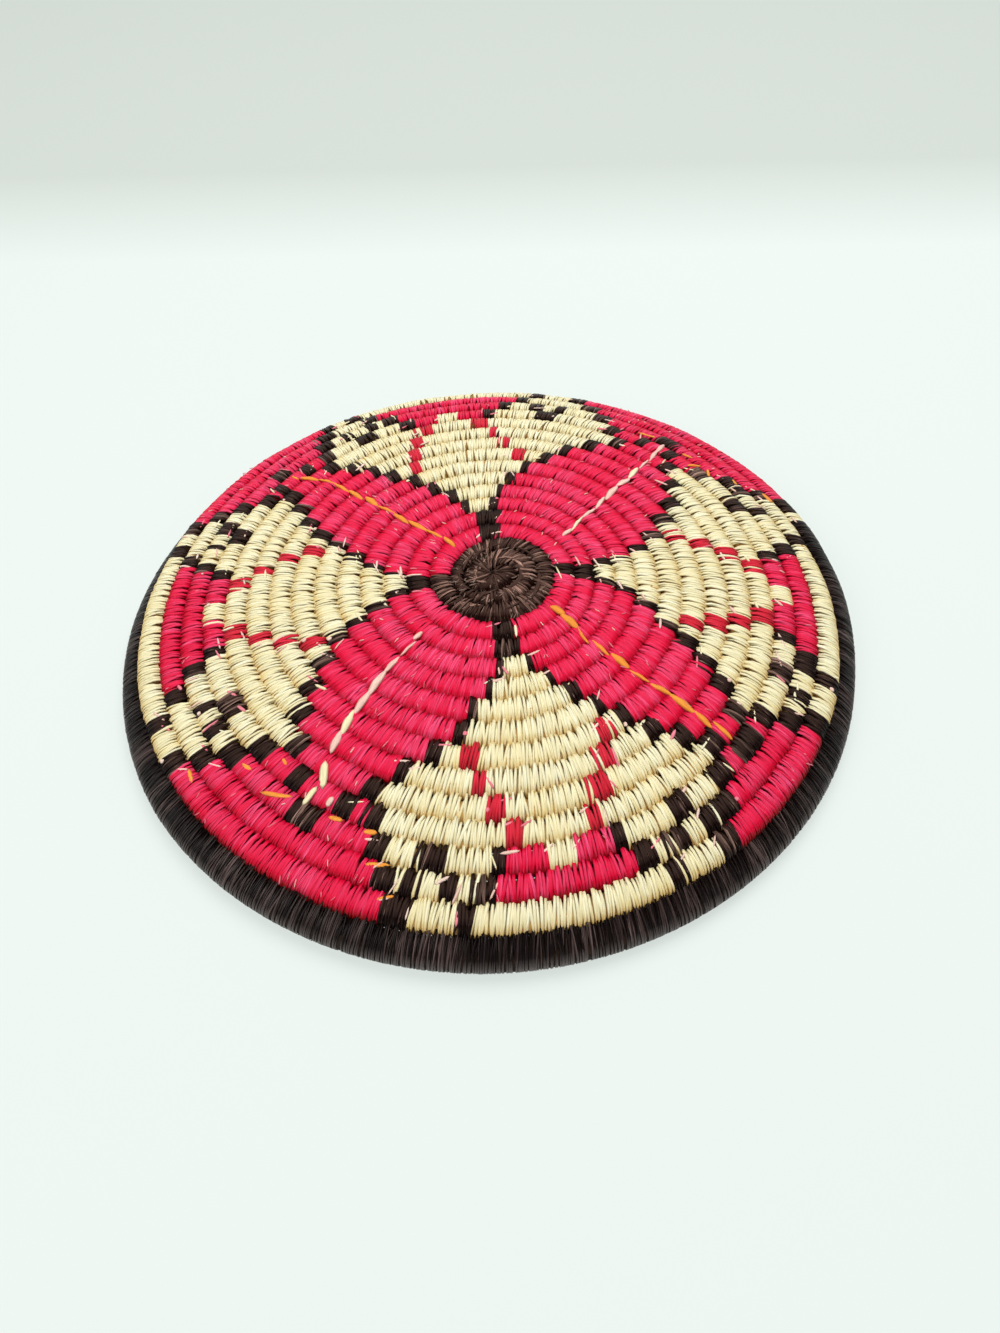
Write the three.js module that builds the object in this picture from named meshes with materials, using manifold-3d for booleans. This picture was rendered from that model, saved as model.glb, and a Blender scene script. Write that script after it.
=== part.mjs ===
// Round coiled basket, shallow and slightly domed, standing hollow side down on its dark rim.
// Millimetres, +Z up, floor at z = 0, origin under the middle of the outline.
// One bundle of fibre winds outward, clockwise from above, as a flat coil of rows. Each colour
// of the flower is wrapped round a stretch of every row that it crosses and stitched to the
// row before it. Angles run clockwise from the left (-X) through the far side (+Y).
import * as THREE from 'three';
import Module from 'manifold-3d';

// Bundle, wrapping and stitches, in millimetres
const CORE_RADIUS = 1.75; // bundle of fibre inside every row
const CORE_CLEARANCE = 0.3; // between the bundle and its wrapping
const WRAP_WALL = 0.45; // least thickness of the wrapping
const WRAP_END_GAP = 0.4; // between two colours that follow each other on a row
const ROW_GAP = 0.5; // between neighbouring rows
const AXIS_CLEARANCE = 0.4; // between the axis and the first turn, which thins to keep it
const STITCH_WIDTH = 2.5; // strap that ties a row to the row before it
const STITCH_HEIGHT = 1;
const STITCH_LIFT = 0.15; // of its underside over the middle of the rows
const STITCH_INSET = 0.35; // from the bore of a row to the end of its strap

// Rim coil, in millimetres
const RIM_RADIUS = 5.1; // thick dark coil that the basket stands on
const RIM_TIP_RADIUS = 1.95; // where the coil ends, drawn thin
const RIM_DROP = 6.4; // from the axis of the last row down to the axis of the rim

// Vein strands on the petals, in millimetres
const VEIN_WIDTH = 1.6;
const VEIN_THICKNESS = 0.7;
const VEIN_CLEARANCE = 0.3; // between a vein and the rows under it

// Coil, counted in turns from its first row
const STEPS = 20; // straight runs in one turn
const AXIS_OFFSET = 0.29; // rows between the axis and the start of the count
const COIL_START = 0; // where the bundle begins, drawn thin beside the axis
const PATTERN_START = 2; // where the dark centre ends and the flower begins
const RIM_START = 15.447; // where the flower ends and the rim begins
const RIM_BLEND = 0.1; // part of a turn in which the last row sinks and swells into the rim
const RIM_LEVEL = 15.75; // middle of the full rim, where RIM_DROP is measured
const RIM_TAPER = 15.83; // where the rim begins to thin
const COIL_END = 16.42;

// Dome: the lean of the surface in radians grows from the middle to the edge
const DOME_ROWS = 17; // rows from the middle to where the leans below are reached
const DOME_LEAN = 0.268; // even part of the lean
const EDGE_LEAN = 0.136; // extra lean, nearly all of it in the outer rows
const EDGE_POWER = 5;
const DOME_SLICES = 240; // slices of the sum along the surface

// Flower, in rows from the dark centre and degrees
const PATTERN_ROWS = 14;
const FIELD_ROW = 2; // first row of the cream fields: the two rows inside it are dark stems
const OUTLINE = 3.5; // dark outline on each side of a field
const FIELDS = [
  {
    name: 'left',
    stem: [-16, 0],
    start: [[2, -13], [5, -25], [9, -45], [10, -40], [13, -31]],
    end: [[2, 1], [5, 16], [9, 31], [13, 18]],
    petal: { name: 'near_left', rows: 11 },
  },
  {
    name: 'far',
    stem: [79, 96],
    start: [[2, 77], [3, 71.5], [6, 57.5], [9, 48], [13, 57]],
    end: [[2, 91], [4, 96], [9, 121.5], [13, 106]],
    petal: { name: 'far_left', rows: 11 },
  },
  {
    name: 'right',
    stem: [172, 184],
    start: [[2, 174], [4, 168], [9, 140], [12, 155], [13, 158]],
    end: [[2, 185], [4, 192], [5, 198], [9, 213], [12, 206]],
    petal: { name: 'far_right', rows: 11 },
  },
  {
    name: 'near',
    stem: [254, 269],
    start: [[2, 253], [5, 240], [9, 225.5], [12, 236]],
    end: [[2, 264.5], [5, 278], [8, 292.5], [12, 282]],
    petal: { name: 'near_right', rows: 10 },
  },
];
const VEINS = [
  { name: 'far_left', colour: 0xe8892c, route: [[0, 46], [2, 42], [8.5, 41], [10, 38]] },
  { name: 'far_right', colour: 0xeadcae, route: [[1, 145], [3, 140], [5, 136.3], [8.5, 133], [10, 131.5]] },
  { name: 'near_right', colour: 0xe8892c, route: [[0, 218], [2, 223], [6.5, 221.5], [9, 220.3]] },
  { name: 'near_left', colour: 0xeadcae, route: [[1, 311], [4, 309.5], [6.5, 307.5], [9, 304]] },
];

// Colours of the dyed fibre
const COLOURS = {
  centre: 0x2d1e1e,
  rim: 0x2a1e20,
  stem: 0x2d1e1e,
  field: 0xebdcaa,
  petal: 0xe42853,
  border: 0xdf2a58,
};
const BUNDLE_COLOUR = 0xb89a66;

// Sizes that follow: a six-sided wrapping round a four-sided bore that clears the bundle
const FLAT = Math.sqrt(3) / 2; // height of a flat over the middle, per unit of corner radius
const CORNER_SLOPE = 1 / Math.sqrt(3); // lean of the sides beside a corner
const BORE_SHARE = 1 + FLAT * CORNER_SLOPE;
const BORE_EXTRA = (1 + CORNER_SLOPE) * CORE_CLEARANCE + WRAP_WALL / FLAT;
const ROW_RADIUS = BORE_SHARE * CORE_RADIUS + BORE_EXTRA;
const ROW_PITCH = 2 * ROW_RADIUS + ROW_GAP;
const RIM_INNER_DROP = domePoint(ROW_PITCH * (RIM_LEVEL - 1 + AXIS_OFFSET)).drop;
const CENTRE_HEIGHT = FLAT * RIM_RADIUS + RIM_DROP + RIM_INNER_DROP;

const wasm = await Module();
wasm.setup();

// Lean of the dome at a distance along its surface from the middle
function leanAt(distance) {
  const share = distance / (DOME_ROWS * ROW_PITCH);
  return DOME_LEAN * share + EDGE_LEAN * share ** EDGE_POWER;
}

// Radius and drop below the middle, summed along the leaning surface
function domePoint(distance) {
  const slice = distance / DOME_SLICES;
  let radius = 0;
  let drop = 0;
  for (let i = 0; i < DOME_SLICES; i += 1) {
    const lean = leanAt((i + 0.5) * slice);
    radius += slice * Math.cos(lean);
    drop += slice * Math.sin(lean);
  }
  return { radius, drop };
}

// Axis, lean and corner radius of a plain row, thinner where the coil begins
function rowSection(turn) {
  const distance = ROW_PITCH * (turn + AXIS_OFFSET);
  const { radius, drop } = domePoint(distance);
  const size = Math.min(ROW_RADIUS, distance - AXIS_CLEARANCE);
  return { turn, radius, height: CENTRE_HEIGHT - drop, lean: leanAt(distance), size };
}

// The same for the rim, which hangs outside and below the row before it and stands on the floor,
// but for its thin end, which stays close under that row
function rimSection(turn) {
  const { lerp, smoothstep } = THREE.MathUtils;
  const row = rowSection(turn);
  const inner = rowSection(turn - 1);
  const blend = smoothstep(turn, RIM_START, RIM_START + RIM_BLEND);
  const taper = THREE.MathUtils.clamp((turn - RIM_TAPER) / (COIL_END - RIM_TAPER), 0, 1);
  const full = lerp(RIM_RADIUS, RIM_TIP_RADIUS, taper);
  const size = lerp(row.size, full, blend);
  const reach = inner.size + size + ROW_GAP;
  const height = lerp(row.height, Math.max(FLAT * full, inner.height - reach), blend);
  const fall = inner.height - height;
  const radius = inner.radius + Math.sqrt(Math.max(reach ** 2 - fall ** 2, 0));
  return { turn, radius, height, lean: lerp(row.lean, 0, blend), size };
}

const sections = [];
for (let step = 0; step <= Math.ceil(COIL_END * STEPS); step += 1) {
  const turn = step / STEPS;
  sections.push(turn > RIM_START ? rimSection(turn) : rowSection(turn));
}

// Radius of the bundle in a section, thinner where the wrapping is too small for all of it
function coreRadius(section) {
  return Math.min(CORE_RADIUS, (section.size - BORE_EXTRA) / BORE_SHARE);
}

// Point of a section: x outward along the surface, y out of the surface
function sectionPoint(section, x, y) {
  const angle = 2 * Math.PI * section.turn;
  const out = section.radius + x * Math.cos(section.lean) + y * Math.sin(section.lean);
  const up = section.height - x * Math.sin(section.lean) + y * Math.cos(section.lean);
  return new THREE.Vector3(-out * Math.cos(angle), out * Math.sin(angle), up);
}

// Points of a shape at any turn, on the straight run between two neighbouring sections
function ringAt(turn, shape) {
  const step = Math.min(Math.floor(turn * STEPS), sections.length - 2);
  const [before, after] = [sections[step], sections[step + 1]];
  const end = shape(after);
  return shape(before).map(([x, y], i) => {
    const point = sectionPoint(before, x, y);
    return point.lerp(sectionPoint(after, ...end[i]), turn * STEPS - step);
  });
}

// Shapes of the section, anticlockwise along the coil
function hexagon(radius) {
  const corners = [];
  for (let i = 0; i < 6; i += 1) {
    corners.push([radius * Math.cos((i * Math.PI) / 3), radius * Math.sin((i * Math.PI) / 3)]);
  }
  return corners;
}

const wrapShape = (section) => hexagon(section.size);
const coreShape = (section) => hexagon(coreRadius(section));

function boreShape(section) {
  const core = coreRadius(section);
  const x = core + CORE_CLEARANCE;
  const y = FLAT * core + CORE_CLEARANCE;
  return [[x, y], [-x, y], [-x, -y], [x, -y]];
}

// Turns of the rings of one stretch: its two ends and every section between them
function ringTurns(from, to) {
  const nearest = 0.005 / STEPS;
  const turns = [from];
  for (let step = Math.ceil(from * STEPS); step < to * STEPS; step += 1) {
    const turn = step / STEPS;
    if (turn - from > nearest && to - turn > nearest) turns.push(turn);
  }
  turns.push(to);
  return turns;
}

// Part of a turn that a length along the row covers
function turnShare(turn, length) {
  const { radius } = sections[Math.round(turn * STEPS)];
  return length / (2 * Math.PI * radius);
}

// Faces between neighbouring rings of equal size, whose points start at an index
function sideFaces(rings, first, flip) {
  const faces = [];
  const count = rings[0].length;
  for (let ring = 0; ring < rings.length - 1; ring += 1) {
    for (let i = 0; i < count; i += 1) {
      const a = first + ring * count + i;
      const b = first + ring * count + ((i + 1) % count);
      if (flip) faces.push([b, a, a + count], [b, a + count, b + count]);
      else faces.push([a, b, b + count], [a, b + count, a + count]);
    }
  }
  return faces;
}

// Closed tube through rings of points
function tube(rings) {
  const count = rings[0].length;
  const last = (rings.length - 1) * count;
  const faces = sideFaces(rings, 0, false);
  for (let i = 1; i < count - 1; i += 1) {
    faces.push([0, i + 1, i], [last, last + i, last + i + 1]);
  }
  return { points: rings.flat(), faces };
}

// Closed tube with a six-sided outside and a four-sided bore: the end faces join the two
const END_OUTER = [[0, 1, 0], [1, 2, 0], [2, 3, 1], [3, 4, 2], [4, 5, 2], [5, 0, 3]];
const END_INNER = [[2, 1, 0], [3, 2, 1], [5, 3, 2], [0, 0, 3]];

function sleeve(from, to) {
  const turns = ringTurns(from, to);
  const outer = turns.map((turn) => ringAt(turn, wrapShape));
  const bore = turns.map((turn) => ringAt(turn, boreShape));
  const inside = 6 * turns.length;
  const faces = [...sideFaces(outer, 0, false), ...sideFaces(bore, inside, true)];
  const ends = [[0, inside, true], [6 * (turns.length - 1), inside + 4 * (turns.length - 1), false]];
  for (const [out, hole, flip] of ends) {
    const cap = [
      ...END_OUTER.map(([a, b, c]) => [out + a, out + b, hole + c]),
      ...END_INNER.map(([a, b, c]) => [out + a, hole + b, hole + c]),
    ];
    faces.push(...(flip ? cap.map(([a, b, c]) => [c, b, a]) : cap));
  }
  return { points: [...outer.flat(), ...bore.flat()], faces };
}

// Four corners of a flat strand, half a width to each side of a turn
function strandRing(turn, width, place, low, high) {
  const half = turnShare(turn, width / 2);
  const corner = (at, y) => ringAt(at, (section) => [[place(section), y(section)]])[0];
  return [corner(turn - half, low), corner(turn - half, high), corner(turn + half, high), corner(turn + half, low)];
}

// Strap that ties a row to the row one turn later
function stitch(turn) {
  const low = () => STITCH_LIFT;
  const high = () => STITCH_LIFT + STITCH_HEIGHT;
  const reach = (section) => coreRadius(section) + CORE_CLEARANCE + STITCH_INSET;
  const inner = strandRing(turn, STITCH_WIDTH, reach, low, high);
  const outer = strandRing(turn + 1, STITCH_WIDTH, (section) => -reach(section), low, high);
  return tube([inner, outer]);
}

// Turn of the strap on a shared stretch: the middle of a straight run where the stretch has one
function stitchTurn(from, to) {
  const middle = (from + to) / 2;
  const run = (Math.floor(middle * STEPS) + 0.5) / STEPS;
  const margin = turnShare(middle, STITCH_WIDTH);
  return run > from + margin && run < to - margin ? run : middle;
}

// Value at a row on straight runs between [row, value] corners
function valueAt(corners, row) {
  const after = corners.findIndex(([at]) => at >= row);
  if (after === 0) return corners[0][1];
  if (after < 0) return corners[corners.length - 1][1];
  const [[fromRow, from], [toRow, to]] = [corners[after - 1], corners[after]];
  return THREE.MathUtils.mapLinear(row, fromRow, toRow, from, to);
}

const turnAt = (row, angle) => PATTERN_START + row + angle / 360;

// Angles that a field, with its outlines, or its stem takes up in a row
function fieldSpan(field, row) {
  if (row < FIELD_ROW) return field.stem;
  return [valueAt(field.start, row) - OUTLINE, valueAt(field.end, row) + OUTLINE];
}

// Stretches of one colour in their order along the coil
function colourStretches() {
  const stretches = [{ zone: 'centre_wrap', from: COIL_START, to: PATTERN_START }];
  let reached = PATTERN_START;
  const wrapUpTo = (zone, turn) => {
    const to = Math.min(turn, RIM_START);
    if (to > reached) stretches.push({ zone, from: reached, to });
    reached = Math.max(reached, to);
  };
  for (let row = 0; row < PATTERN_ROWS; row += 1) {
    for (const field of FIELDS) {
      const [start, end] = fieldSpan(field, row);
      const between = row < field.petal.rows ? 'petal' : 'border';
      wrapUpTo(`${between}_wrap_${field.petal.name}`, turnAt(row, start));
      wrapUpTo(`${row < FIELD_ROW ? 'stem' : 'field'}_wrap_${field.name}`, turnAt(row, end));
    }
  }
  stretches.push({ zone: 'rim_wrap', from: RIM_START, to: COIL_END });
  return stretches;
}

// Solid and geometry of a list of points and faces
function solidOf({ points, faces }) {
  const vertProperties = new Float32Array(points.flatMap((point) => point.toArray()));
  return new wasm.Manifold(new wasm.Mesh({ numProp: 3, vertProperties, triVerts: new Uint32Array(faces.flat()) }));
}

function geometryOf(positions, triangles) {
  const geometry = new THREE.BufferGeometry();
  geometry.setAttribute('position', new THREE.BufferAttribute(positions, 3));
  geometry.setIndex(new THREE.BufferAttribute(triangles, 1));
  geometry.computeVertexNormals();
  return geometry;
}

function meshOf(name, colour, { points, faces }) {
  const positions = new Float32Array(points.flatMap((point) => point.toArray()));
  return namedMesh(name, colour, geometryOf(positions, new Uint32Array(faces.flat())));
}

function namedMesh(name, colour, geometry) {
  const material = new THREE.MeshStandardMaterial({ color: colour, roughness: 0.75, metalness: 0 });
  const mesh = new THREE.Mesh(geometry, material);
  mesh.name = name;
  return mesh;
}

// All the wrapping of one zone: a sleeve on every row, tied to the next where they run side by side
function zoneMesh(zone, stretches) {
  const pieces = stretches.map(({ from, to }) => {
    const trimmed = [from + turnShare(from, WRAP_END_GAP / 2), to - turnShare(to, WRAP_END_GAP / 2)];
    return solidOf(sleeve(...trimmed));
  });
  stretches.slice(1).forEach((next, i) => {
    const from = Math.max(stretches[i].from + 1, next.from);
    const to = Math.min(stretches[i].to + 1, next.to);
    pieces.push(solidOf(stitch(stitchTurn(from - 1, to - 1))));
  });
  const joined = pieces.reduce((sum, piece) => sum.add(piece)).getMesh();
  const colour = COLOURS[zone.split('_')[0]];
  return namedMesh(zone, colour, geometryOf(joined.vertProperties, joined.triVerts));
}

// The bundle, one unbroken tube from the middle to the tip of the rim
function foundationCoil() {
  const rings = ringTurns(COIL_START, COIL_END).map((turn) => ringAt(turn, coreShape));
  console.log(`least gap of the bundle to itself: ${leastGap(rings).toFixed(2)} mm`);
  return meshOf('foundation_coil', BUNDLE_COLOUR, tube(rings));
}

// Least distance between points of rings that lie about one turn apart
function leastGap(rings) {
  let least = Infinity;
  rings.forEach((ring, i) => {
    for (const other of rings.slice(i + STEPS - 2, i + STEPS + 3)) {
      for (const a of ring) {
        for (const b of other) least = Math.min(least, a.distanceTo(b));
      }
    }
  });
  return least;
}

// Strand that lies along a petal over the crowns of its rows
function veinStrand({ name, colour, route }) {
  const low = (section) => FLAT * section.size + VEIN_CLEARANCE;
  const high = (section) => low(section) + VEIN_THICKNESS;
  const rings = [];
  for (let row = route[0][0]; row <= route[route.length - 1][0]; row += 1) {
    rings.push(strandRing(turnAt(row, valueAt(route, row)), VEIN_WIDTH, () => 0, low, high));
  }
  return meshOf(`vein_strand_${name}`, colour, tube(rings));
}

const basket = new THREE.Group();
basket.add(foundationCoil());
const zones = Map.groupBy(colourStretches(), ({ zone }) => zone);
for (const [zone, stretches] of zones) basket.add(zoneMesh(zone, stretches));
for (const vein of VEINS) basket.add(veinStrand(vein));

// The outline is a spiral, so its middle lies beside the axis of the coil
const middle = new THREE.Box3().setFromObject(basket).getCenter(new THREE.Vector3());
basket.position.set(-middle.x, -middle.y, 0);

export default basket;
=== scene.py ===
"""A round coiled basket, shallow and slightly domed, standing hollow side down on its dark rim.

A bundle of dry fibre winds outward, clockwise from above, as one flat coil of rows. Narrow dyed
strands are wrapped round it one beside the other, each a closed loop that bites into the row
before it. Their colours follow a chart of rows and angles: four pink petals with vein strands,
four cream fields with dark stepped outlines, red accents and checks, and a thick dark rim.
Angles run clockwise from the left (-X) through the far side (+Y). Lengths are in metres.
"""

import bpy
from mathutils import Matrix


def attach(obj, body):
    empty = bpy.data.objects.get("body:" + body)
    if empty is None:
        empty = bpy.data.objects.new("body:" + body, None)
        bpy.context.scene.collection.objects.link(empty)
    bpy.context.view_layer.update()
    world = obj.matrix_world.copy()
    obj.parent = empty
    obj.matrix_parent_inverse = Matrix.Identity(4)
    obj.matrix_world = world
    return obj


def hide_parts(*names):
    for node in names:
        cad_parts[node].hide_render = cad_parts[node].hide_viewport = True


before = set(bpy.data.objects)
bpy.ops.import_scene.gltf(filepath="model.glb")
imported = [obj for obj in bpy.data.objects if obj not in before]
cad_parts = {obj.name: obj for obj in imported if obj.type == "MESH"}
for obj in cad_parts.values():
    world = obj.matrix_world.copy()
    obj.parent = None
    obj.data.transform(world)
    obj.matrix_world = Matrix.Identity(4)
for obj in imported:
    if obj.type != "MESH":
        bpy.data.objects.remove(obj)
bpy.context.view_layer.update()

import math
from typing import NamedTuple

import bmesh
import bpy
import numpy as np
from bpy.props import FloatProperty, FloatVectorProperty, IntProperty, PointerProperty
from bpy.types import Operator, Panel, PropertyGroup
from mathutils import Matrix, Vector

bl_info = {
    "name": "Coiled basket",
    "version": (1, 0, 0),
    "blender": (4, 5, 0),
    "location": "View3D > Sidebar > Basket",
    "description": "Builds a round coiled basket strand by strand",
    "category": "Object",
}

MM = 0.001
BODY = "root"

# Coil, counted in turns from its first row
AXIS = (0.79 * MM, 2.32 * MM)  # of the coil, beside the middle of the spiral outline
AXIS_OFFSET = 0.29  # rows between the axis and the start of the count
CENTRE_START = -0.8
CENTRE_PITCH = 4.9 * MM  # the strands show narrower rows in the centre than its solid has
CENTRE_TIP = 0.3  # turns over which the bundle thickens from its tip
CENTRE_TIP_SIZE = 0.15  # of that tip, as a share of the full size
PATTERN_START = 2.0
RIM_START = 15.447
RIM_BLEND = 0.1  # turns over which the last row becomes the rim
RIM_LEVEL = 15.75  # where the rim's drop is measured
RIM_TAPER = 15.9  # where the rim begins to thin out
COIL_END = 16.42
RIM_CLOSE = 0.06  # turns over which the rim's end closes to a fine tip
RIM_TIP_SIZE = 0.2  # of that tip, as a share of the rim before it
OVAL_GROWTH = 2.2 * MM  # the first rows lie in an oval, wider than a round coil
OVAL_SHIFT = (2.1 * MM, -0.4 * MM)  # and moved to the right and to the near side
OVAL_RADIUS = 17 * MM
OVAL_STRETCH = 0.3  # of the innermost rows, along an axis turned by the tilt
OVAL_STRETCH_RADIUS = 10 * MM
OVAL_TILT = math.radians(155)
EDGE_RADII = (95 * MM, 125 * MM)  # where the outer rows begin to lie closer, and do so fully
EDGE_IN = 1.0 * MM  # on the right and far sides
EDGE_DROOP = 0.2  # share of the height, on the far side
LEAST_RADIUS = 2 * MM  # by which a way along a row becomes an angle
HEX_FLAT = math.sqrt(3) / 2  # height of a flat of the six-sided solid, per unit of its radius
COIL_STEPS = 5200  # in the tables along the coil
DOME_STEPS = 6000  # in those along the dome

# Dome: lean of the surface in radians, growing from the middle to the edge
DOME_ROWS = 17
DOME_LEAN = 0.268
EDGE_LEAN = 0.136
EDGE_POWER = 5

# Chart of the flower, in rows from the dark centre and degrees
FIRST_ANGLE = -50.0  # where the count of a row begins
FIELD_ROW = 2
HEART_ROW = 10
OUTLINE = 3.5
RED_ROWS = (6, 9)
RED_HALF = 1.7
HEART_BORDER = 2.7
HEART_SLIT = 2.3
CHECK_HALF = 2.2  # half width of the single check
CHECK_PAIR = (1.7, 4.2)  # nearer and farther edge of each of the two checks from their middle
# Fields: edges of the stem, corners of the two edges, red accents at the first and last red row,
# rows of the heart with its two edges there, row of its cream band, and middles of the checks
FIELDS = {
    "left": {
        "stem": (-16, 0),
        "start": ((2, -13), (5, -25), (9, -45), (10, -40), (13, -31)),
        "end": ((2, 1), (5, 16), (9, 31), (13, 18)),
        "reds": ((-23.5, -11.7), (14.4, 2.4)),
        "heart": ((10, 13), (-13.2, -23.3), (4.5, 12)),
        "band_row": 13,
        "checks": (-29.0, 17.0),
    },
    "far": {
        "stem": (79, 96),
        "start": ((2, 77), (3, 71.5), (6, 57.5), (9, 48), (13, 57)),
        "end": ((2, 91), (4, 96), (9, 121.5), (13, 106)),
        "reds": ((63.7, 72.5), (98.3, 87.3)),
        "heart": ((10, 13), (71, 62.2), (88.3, 98.4)),
        "band_row": 13,
        "checks": (59.2, 103.0),
    },
    "right": {
        "stem": (172, 184),
        "start": ((2, 174), (4, 168), (9, 140), (12, 155), (13, 158)),
        "end": ((2, 185), (4, 192), (5, 198), (9, 213), (12, 206)),
        "reds": ((162.8, 174.5), (196.8, 188.5)),
        "heart": ((10, 12), (172.7, 167.4), (191.5, 197.9)),
        "band_row": 12,
        "checks": (155.3, 201.2),
    },
    "near": {
        "stem": (254, 269),
        "start": ((2, 253), (5, 240), (9, 225.5), (12, 236)),
        "end": ((2, 264.5), (5, 278), (8, 292.5), (12, 282)),
        "reds": ((241, 251.8), (275.8, 266)),
        "heart": ((10, 12), (250, 244.4), (267.6, 272.5)),
        "band_row": 12,
        "checks": (237.6, 279.5),
    },
}
# Petals: rows up to the border, dark cap as row, middle and half width, shoulder edges before it
PETALS = {
    "far_left": {"rows": 11, "cap": (11, 38.3, 1.8), "shoulder": (2.8, 5.4)},
    "far_right": {"rows": 11, "cap": (11, 131.2, 2.4), "shoulder": (2.4, 5.0)},
    "near_right": {"rows": 10, "cap": (10, 219.2, 3.2), "shoulder": None},
    "near_left": {"rows": 10, "cap": (10, 302.8, 2.9), "shoulder": (4.0, 6.8)},
}
# Vein strands as (row, angle) corners, and their dye
VEINS = {
    "far_left": ("orange", ((-0.3, 48), (1, 43.5), (2, 42), (8.5, 41), (10, 38))),
    "far_right": ("cream", ((0.7, 146), (2, 142), (3, 140), (5, 136.3), (8.5, 133), (10.4, 131.5))),
    "near_right": ("orange", ((-0.3, 216), (2, 223), (6.5, 221.5), (9.4, 220.2))),
    "near_left": ("cream", ((1, 311), (4, 309.5), (6.5, 307.2), (7.4, 306.2))),
}
# Loose stitches in the grooves: dye, first and last row and angle, width
STITCHES = (
    ("cream", (7.7, 306), (8.7, 302.8), 2.7 * MM),
    ("cream", (8.7, 304), (9.6, 304.2), 2.0 * MM),
    ("pale", (8.75, 300.2), (9.2, 300.2), 2.0 * MM),
    ("orange", (10.1, 312), (9.5, 306.5), 1.6 * MM),
    ("orange", (12.5, -35.5), (12.7, -38), 1.6 * MM),
    ("orange", (10.8, -41.5), (10.7, -44), 1.6 * MM),
    ("orange", (9.6, -46.5), (9.7, -48.3), 1.4 * MM),
    ("orange", (9.5, 299), (9.4, 296.3), 1.6 * MM),
    ("orange", (9.5, 292.2), (9.4, 289.8), 1.8 * MM),
    ("orange", (10.6, 290), (10.4, 286), 1.5 * MM),
    ("orange", (11.7, 287), (11.4, 284), 1.2 * MM),
    ("orange", (10.4, 124.5), (10.7, 129), 1.4 * MM),
    ("orange", (10.4, 136), (10.6, 138.5), 1.3 * MM),
    ("orange", (9.7, 139.8), (10.4, 141.6), 1.5 * MM),
    ("orange", (10.5, 143), (10.0, 145.4), 1.4 * MM),
    ("orange", (11.1, 147.8), (11.0, 149.7), 1.3 * MM),
    ("orange", (12.0, 153), (12.1, 156), 2.2 * MM),
)
DYES = ("cream", "pink", "dark", "umber", "red", "orange", "pale", "rose", "brown", "jet")
CREAM, PINK, DARK, UMBER, RED, ORANGE, PALE, ROSE, BROWN, JET = range(len(DYES))
VEIN_DYES = {"orange": (ORANGE,), "cream": (CREAM, PALE, PALE)}  # the pink tinges the cream
END_DYES = (PALE, PALE, CREAM, ROSE)
FLECK_DYES = (PALE, ROSE, ROSE, ROSE)


class FinishAndPaintedLight(NamedTuple):
    """Finish of a dye and the light and shade painted on it, its colours as they are seen."""

    light: tuple  # colour of the lightest strands, themselves in part painted glints, and of the painted glints and highlight
    groove: tuple  # painted shade in the grooves and on the row's flanks; on the rim, a painted reflection of the floor on its lower flank
    bounce_tint: tuple  # colour of the bundle under the strands, tinted after them, in part painted bounce light
    deep: tuple = (0.85, 0.0)  # crown at which that painted colour starts, and is full
    few: float = 0.2  # shade from which strands grow lighter
    top: float = 0.3  # share of the light colour painted on the crown as a highlight
    roughness: float = 0.45
    shine: float = 0.3
    sheen: float = 0.04


FINISHES_AND_LIGHT = {
    "cream": FinishAndPaintedLight(
        (1.0, 1.0, 0.89), (0.90, 0.71, 0.34), (0.80, 0.62, 0.33), roughness=0.48, sheen=0.05),
    "pink": FinishAndPaintedLight(
        (1.0, 0.40, 0.59), (0.58, 0.0, 0.04), (0.78, 0.0, 0.11),
        deep=(0.9, 0.3), few=0.48, top=0.15, roughness=0.44, shine=0.15, sheen=0.01),
    "dark": FinishAndPaintedLight(
        (0.80, 0.64, 0.57), (0.045, 0.012, 0.008), (0.10, 0.05, 0.035),
        few=0.76, top=0.05, roughness=0.32, shine=0.1, sheen=0.0),
    "umber": FinishAndPaintedLight(
        (0.88, 0.69, 0.61), (0.05, 0.01, 0.005), (0.10, 0.05, 0.035),
        few=0.62, top=0.07, roughness=0.36, shine=0.1, sheen=0.0),
    "red": FinishAndPaintedLight((0.95, 0.20, 0.30), (0.56, 0.01, 0.05), (0.50, 0.03, 0.06), top=0.35, roughness=0.44),
    "orange": FinishAndPaintedLight((1.0, 0.70, 0.28), (0.80, 0.40, 0.10), (0.70, 0.40, 0.15)),
    "pale": FinishAndPaintedLight((1.0, 0.92, 0.86), (0.75, 0.52, 0.45), (0.70, 0.52, 0.40), roughness=0.50),
    "rose": FinishAndPaintedLight((1.0, 0.62, 0.66), (0.80, 0.25, 0.32), (0.70, 0.30, 0.34), roughness=0.50),
    "brown": FinishAndPaintedLight((0.62, 0.52, 0.46), (0.30, 0.22, 0.18), (0.30, 0.20, 0.15), sheen=0.0),
    # On the rim, the grey groove colour is a painted reflection of the floor on the lower flank, and
    # the light strands are in part painted glints.
    "jet": FinishAndPaintedLight(
        (0.50, 0.41, 0.39), (0.37, 0.335, 0.325), (0.06, 0.03, 0.025),
        deep=(0.5, -0.2), few=0.56, top=0.0, roughness=0.2, shine=0.2, sheen=0.0),
}
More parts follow.
